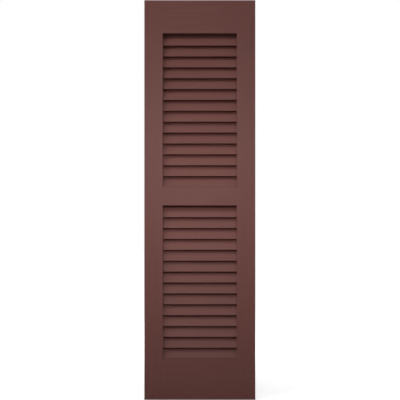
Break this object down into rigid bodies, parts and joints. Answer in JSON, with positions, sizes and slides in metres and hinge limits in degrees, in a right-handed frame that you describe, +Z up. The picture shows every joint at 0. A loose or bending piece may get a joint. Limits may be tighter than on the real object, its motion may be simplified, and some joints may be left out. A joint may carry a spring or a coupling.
{
  "type": "louvered shutter",
  "caption": "Tall wooden window shutter leaf with fixed slanted louvers above and below a middle rail, painted dark red-brown",
  "frame": {"origin": "centre of the back face, on the back of the middle rail", "axes": "+Z up along the leaf, +X to the right seen from the front, +Y backwards into the wall"},
  "size_m": [0.381, 0.0349, 1.3716],
  "materials": {
    "stile_paint": "satin paint, dark red-brown",
    "rail_paint": "satin paint, dark red-brown",
    "louver_paint": "satin paint, dark red-brown"
  },
  "bodies": {
    "root": {"left_stile": "stile_paint", "right_stile": "stile_paint", "top_rail": "rail_paint", "middle_rail": "rail_paint", "bottom_rail": "rail_paint", "upper_louver_01": "louver_paint", "upper_louver_02": "louver_paint", "upper_louver_03": "louver_paint", "upper_louver_04": "louver_paint", "upper_louver_05": "louver_paint", "upper_louver_06": "louver_paint", "upper_louver_07": "louver_paint", "upper_louver_08": "louver_paint", "upper_louver_09": "louver_paint", "upper_louver_10": "louver_paint", "upper_louver_11": "louver_paint", "upper_louver_12": "louver_paint", "upper_louver_13": "louver_paint", "upper_louver_14": "louver_paint", "lower_louver_01": "louver_paint", "lower_louver_02": "louver_paint", "lower_louver_03": "louver_paint", "lower_louver_04": "louver_paint", "lower_louver_05": "louver_paint", "lower_louver_06": "louver_paint", "lower_louver_07": "louver_paint", "lower_louver_08": "louver_paint", "lower_louver_09": "louver_paint", "lower_louver_10": "louver_paint", "lower_louver_11": "louver_paint", "lower_louver_12": "louver_paint", "lower_louver_13": "louver_paint", "lower_louver_14": "louver_paint"}
  },
  "joints": []
}
